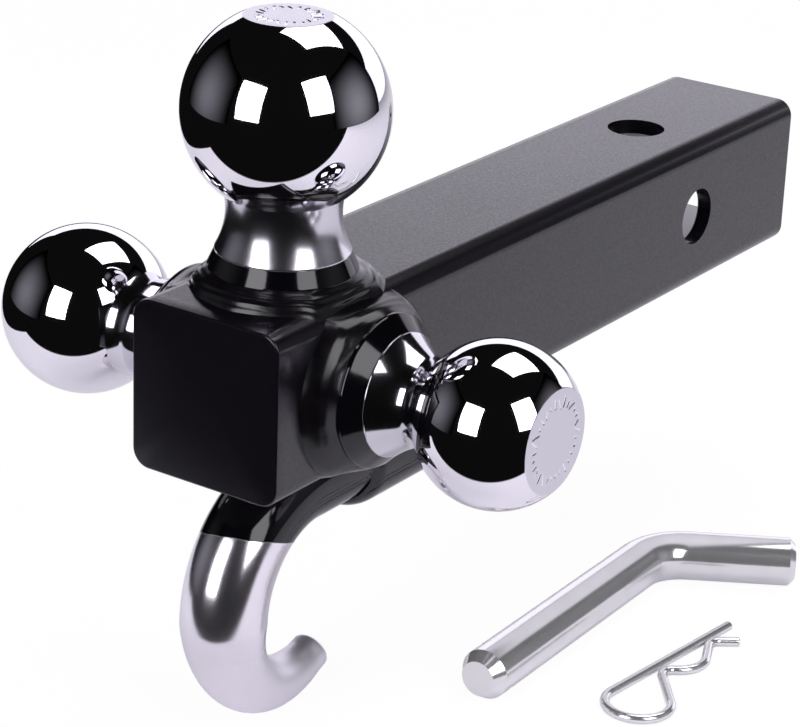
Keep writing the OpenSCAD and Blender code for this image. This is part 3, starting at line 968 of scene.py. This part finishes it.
@dataclass
class LooseParts:
    """Bent hitch pin, which keeps its CAD mesh, and the spring clip, which is bent wire."""

    wire_d: float = 3.0
    pin_d: float = 15.88
    leg_l: float = 61.7
    eye_r: float = 10.0
    arch_x: float = 32.7
    bend_r: float = 4.0
    climb_deg: float = 30.0
    lead_deg: float = 47.0
    lead_l: float = 6.2
    slip: float = 0.15
    exit_deg: float = 45.0
    clip_place: Pair = (-127.5, -76.9)
    clip_heading: float = -6.3
    pin_heading: float = 1.3
    cut_edge: float = 0.35
    # Keeps the finer wire inside the CAD model's
    shrink: float = 0.999

    def clip_line(self) -> np.ndarray:
        """Gives the centre line of the clip in its own plane, as straight legs and tangent arcs.

        Returns:
            Array of points by two.
        """
        arch_r = (self.pin_d + self.wire_d) / 2 + self.slip
        lever = arch_r + self.bend_r
        root2 = sqrt(2)
        reach = self.eye_r * (1 + root2) - self.arch_x + root2 * self.bend_r
        rear = degrees(acos(reach / (root2 * lever))) - self.exit_deg
        waist = (self.arch_x - lever * sin(radians(rear)), -lever * cos(radians(rear)))
        climb, slope = radians(self.climb_deg), radians(self.lead_deg)
        depth = self.wire_d + self.slip + self.bend_r
        climb_l = (lever * cos(climb) - depth) / sin(climb)
        crest = (self.arch_x + lever * sin(climb) + climb_l * cos(climb), -depth)
        leg = np.stack([np.linspace(self.leg_l, 0.4, 24), np.zeros(24)], -1)
        eye = arc((0, -self.eye_r), self.eye_r, 90, 360 - self.exit_deg, 72)
        dip = arc(waist, self.bend_r, 90 + self.exit_deg, 90 - rear, 26)
        arch = arc((self.arch_x, 0), arch_r, 270 - rear + 1, 270 + self.climb_deg, 44)
        top = arc(crest, self.bend_r, 90 + self.climb_deg, 90 - self.lead_deg, 26)
        run = np.linspace(0, 1, 8)[1:, None]
        rise = eye[-1] + (dip[0] - eye[-1]) * run[:-1]
        ascent = arch[-1] + (top[0] - arch[-1]) * run[:-1]
        lead = top[-1] + run * self.lead_l * np.array([cos(slope), -sin(slope)])
        return np.vstack([leg, eye, rise, dip, arch, ascent, top, lead])

    def clip(self) -> Object:
        """Carries a circle along the centre line, with a small round on both cut ends.

        Returns:
            The piece.
        """
        line = self.clip_line()
        turn = radians(self.clip_heading)
        spin = np.array([[cos(turn), sin(turn)], [-sin(turn), cos(turn)]])
        flat = line @ spin + np.array(self.clip_place)
        path = np.insert(flat, 2, FLOOR_Z + self.wire_d / 2, axis=1)
        first, last = path[0] - path[1], path[-1] - path[-2]
        first, last = first / np.linalg.norm(first), last / np.linalg.norm(last)
        ease = np.radians(np.linspace(0, 80, 5))
        inset = self.cut_edge * (1 - np.sin(ease))
        starts = path[0] - inset[::-1, None] * first
        ends = path[-1] - inset[:, None] * last
        path = np.vstack([starts, path[1:-1], ends])
        r = self.wire_d / 2 * self.shrink
        taper = self.cut_edge * (1 - np.cos(ease))
        radius = np.concatenate([r - taper[::-1], np.full(len(path) - 2 * len(ease), r), r - taper])
        return grid_object("clip_wire", tube(path, radius, (0, 0, 1), 28), crease=60)

    def build(self) -> None:
        """Dresses the pin and builds the clip."""
        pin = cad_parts["hitch_pin"]
        dress(pin, BrightZinc("bright_zinc_pin", heading_deg=self.pin_heading).material())
        LOG.info("hitch_pin keeps its CAD mesh")
        wire = BrightZinc("bright_spring_wire", line_depth_mm=0.0004, heading_deg=self.clip_heading)
        seat(self.clip(), "clip", "spring_clip", wire.material())


@dataclass(frozen=True)
class Card:
    """White or grey card beside the object that only reflections see, as in a photo studio."""

    name: str
    centre: Triple
    aim: Triple
    width: float
    height: float
    colour: str
    strength: float
    feather: float = 0.02

    def build(self) -> None:
        """Stands the card up facing its aim, clear from behind, with an edge that fades out."""
        mesh = bpy.data.meshes.new(self.name)
        x, y = self.width / 2 * MM, self.height / 2 * MM
        mesh.from_pydata([(-x, -y, 0), (x, -y, 0), (x, y, 0), (-x, y, 0)], [], [(0, 1, 2, 3)])
        card = linked(self.name, mesh)
        middle = Vector(self.centre) * MM
        facing = (Vector(self.aim) * MM - middle).normalized()
        card.matrix_world = Matrix.Translation(middle) @ facing.to_track_quat("Z", "Y").to_matrix().to_4x4()
        material, add, place = new_material(self.name)
        fades = []
        for part, half in zip(add("SeparateXYZ", {0: place}).outputs, (x, y)):
            side = add("Math", {0: part}, operation="ABSOLUTE")
            fades.append(add("MapRange", {
                0: side, 1: half, 2: half * (1 - self.feather), 4: self.strength ** 0.5,
            }, interpolation_type="SMOOTHSTEP"))
        power = add("Math", {0: fades[0], 1: fades[1]}, operation="MULTIPLY")
        glow = add("Emission", {0: self.colour, 1: power})
        behind = add("NewGeometry").outputs["Backfacing"]
        add("OutputMaterial", {0: add("MixShader", {0: behind, 1: glow, 2: add("BsdfTransparent")})})
        dress(card, material)
        card.visible_camera = card.visible_diffuse = card.visible_shadow = card.visible_transmission = False


@dataclass
class Studio:
    """Pale table in a dark room with soft boxes left, right and overhead, and the camera."""

    table_facing: Pair = (-0.95, -0.313)
    table_front: float = 285.0
    table_left: float = 380.0
    table_edge: float = 6.0
    floor_half: float = 9000.0
    floor_gap: float = 0.05
    white: str = "f3effc"
    floor_colour: str = "f3f1f8"
    # Share of plain white that the camera sees on the floor, the rest is lit and takes the shadow
    floor_share: float = 0.93
    floor_white: float = 1.02
    gloom: float = 0.004
    fill: float = 0.4
    grey: str = "d8d6e0"
    lamp_colour: Triple = (1.0, 0.975, 1.03)
    lamp_aim: Triple = (-195.0, 0.0, 30.0)
    camera_place: Triple = (-790.5, -445.0, 301.4)
    camera_deg: Triple = (-55.84, 21.93, 2.22)
    focal_px: float = 2821.4
    frame_px: float = 800.0

    def floor(self) -> None:
        """Lays the floor: white with the object's shadow to the camera, a bounded table to reflections."""
        mesh = bpy.data.meshes.new("floor")
        h = self.floor_half * MM
        mesh.from_pydata([(-h, -h, 0), (h, -h, 0), (h, h, 0), (-h, h, 0)], [], [(0, 1, 2, 3)])
        floor = linked("floor", mesh)
        floor.location.z = (FLOOR_Z - self.floor_gap) * MM
        material, add, place = new_material("pale_floor")
        path = add("LightPath")
        x, y = self.table_facing
        edges = []
        for facing, end in (((x, y, 0), self.table_front), ((y, -x, 0), self.table_left)):
            reach = add("VectorMath", {0: place, 1: facing}, operation="DOT_PRODUCT")
            edges.append(add("MapRange", {0: reach, 1: end * MM, 2: (end - self.table_edge) * MM}))
        on_table = add("Math", {0: edges[0], 1: edges[1]}, operation="MULTIPLY")
        matt = add("BsdfDiffuse", {0: self.floor_colour})
        clear = add("Emission", {1: self.floor_white})
        share = add("Math", {0: path.outputs["Is Camera Ray"], 1: self.floor_share}, operation="MULTIPLY")
        seen = add("MixShader", {0: share, 1: matt, 2: clear})
        gloom = add("Emission", {1: self.gloom})
        off_table = add("Math", {0: 1.0, 1: on_table}, operation="SUBTRACT")
        hidden = add("Math", {0: path.outputs["Is Glossy Ray"], 1: off_table}, operation="MULTIPLY")
        add("OutputMaterial", {0: add("MixShader", {0: hidden, 1: seen, 2: gloom})})
        dress(floor, material)

    def room(self) -> None:
        """Sets the world: white to the camera, dim to reflections, a soft fill to all else."""
        world = bpy.data.worlds.new("room")
        bpy.context.scene.world = world
        world.use_nodes = True
        world.node_tree.nodes.clear()
        add = partial(add_node, world.node_tree)
        path = add("LightPath")
        fill = add("MapRange", {0: path.outputs["Is Glossy Ray"], 3: self.fill, 4: self.gloom})
        level = add("MapRange", {0: path.outputs["Is Camera Ray"], 3: fill, 4: 1.0})
        add("OutputWorld", {0: add("Background", {0: (1, 1, 1, 1), 1: level})})

    def soft_box(
        self, name: str, azimuth: float, elevation: float, reach: float,
        size: Pair, watts: float,
    ) -> None:
        """Hangs an area lamp that faces the balls.

        Args:
            name: Name of the lamp.
            azimuth: Direction from the balls in degrees from X to Y.
            elevation: Height above the horizon in degrees.
            reach: Distance from the balls in millimetres.
            size: Width and height in millimetres.
            watts: Power.
        """
        a, e = radians(azimuth), radians(elevation)
        away = Vector((cos(a) * cos(e), sin(a) * cos(e), sin(e)))
        lamp = bpy.data.lights.new(name, "AREA")
        lamp.shape = "RECTANGLE"
        lamp.size, lamp.size_y = size[0] * MM, size[1] * MM
        lamp.energy = watts
        lamp.color = self.lamp_colour
        box = linked(name, lamp)
        box.location = (Vector(self.lamp_aim) + away * reach) * MM
        box.rotation_euler = (-away).to_track_quat("-Z", "Y").to_euler()
        box.visible_camera = False

    def camera(self) -> None:
        """Stands the camera where the photographer stood, with its slight roll."""
        a, e, r = map(radians, self.camera_deg)
        right = Vector((cos(a), sin(a), 0))
        back = Vector((sin(a) * cos(e), -cos(a) * cos(e), sin(e)))
        up = back.cross(right)
        right, up = right * cos(r) + up * sin(r), up * cos(r) - right * sin(r)
        data = bpy.data.cameras.new("camera")
        data.sensor_width, data.sensor_fit = 36.0, "HORIZONTAL"
        data.lens = self.focal_px / self.frame_px * data.sensor_width
        camera = linked("camera", data)
        turn = Matrix((right, up, back)).transposed().to_4x4()
        camera.matrix_world = Matrix.Translation(Vector(self.camera_place) * MM) @ turn
        bpy.context.scene.camera = camera

    def build(self) -> None:
        """Sets up floor, room, lamps, cards and camera."""
        bpy.context.scene.view_settings.view_transform = "Standard"
        self.floor()
        self.room()
        self.soft_box("soft_box_left", 175, 21, 1300, (640, 880), 8.4)
        self.soft_box("soft_box_right", -104, 29, 1300, (640, 840), 6.6)
        self.soft_box("soft_box_top", -4, 63, 1400, (760, 960), 6.5)
        cards = (
            Card("backdrop", (2470, 815, 523), (-195, 0, 523), 5100, 1666, self.white, 1.38),
            Card("grey_card_left", (-800, 1030, 250), (-195, 0, 60), 1600, 1600, self.grey, 0.25, 1.0),
            Card("grey_card_right", (425, -1030, 250), (-195, 0, 60), 1600, 1600, self.grey, 0.35, 1.0),
            Card("white_card_low", (-20, -30, -42), (-20, -30, -100), 160, 95, self.white, 0.8, 0.3),
        )
        for card in cards:
            card.build()
        self.camera()


def main() -> None:
    """Builds the studio and every sub-assembly in order."""
    logging.basicConfig(level=logging.INFO, format="%(name)s: %(message)s")
    Studio().build()
    Shank().build()
    weld = WeldPaint().material()
    studs = (
        BallStud(
            "large_ball", Face.TOP, ball_d=58.74, flat_d=24.8, neck_d=32.8, flange_d=43.0, bevel=2.2,
            station=195.0, seed=2, widest_deg=-42, wall_top=5.6, bead_crest=5.5, bead_crown=0.7,
            neck_roughness=0.2, flare_power=2.0, lump=0.06, ripple=0.1,
        ),
        BallStud(
            "medium_ball", Face.LEFT, ball_d=50.8, flat_d=28.0, neck_d=29.4, flange_d=45.4, bevel=4.2,
            station=195.0, seed=3, widest_deg=160,
        ),
        BallStud(
            "small_ball", Face.RIGHT, ball_d=47.63, flat_d=30.0, neck_d=26.4, flange_d=45.0, bevel=4.5,
            station=190.0, seed=4, widest_deg=165,
        ),
    )
    for stud in studs:
        stud.build(weld)
    TowHook().build(weld)
    LooseParts().build()


if __name__ == "__main__":
    main()
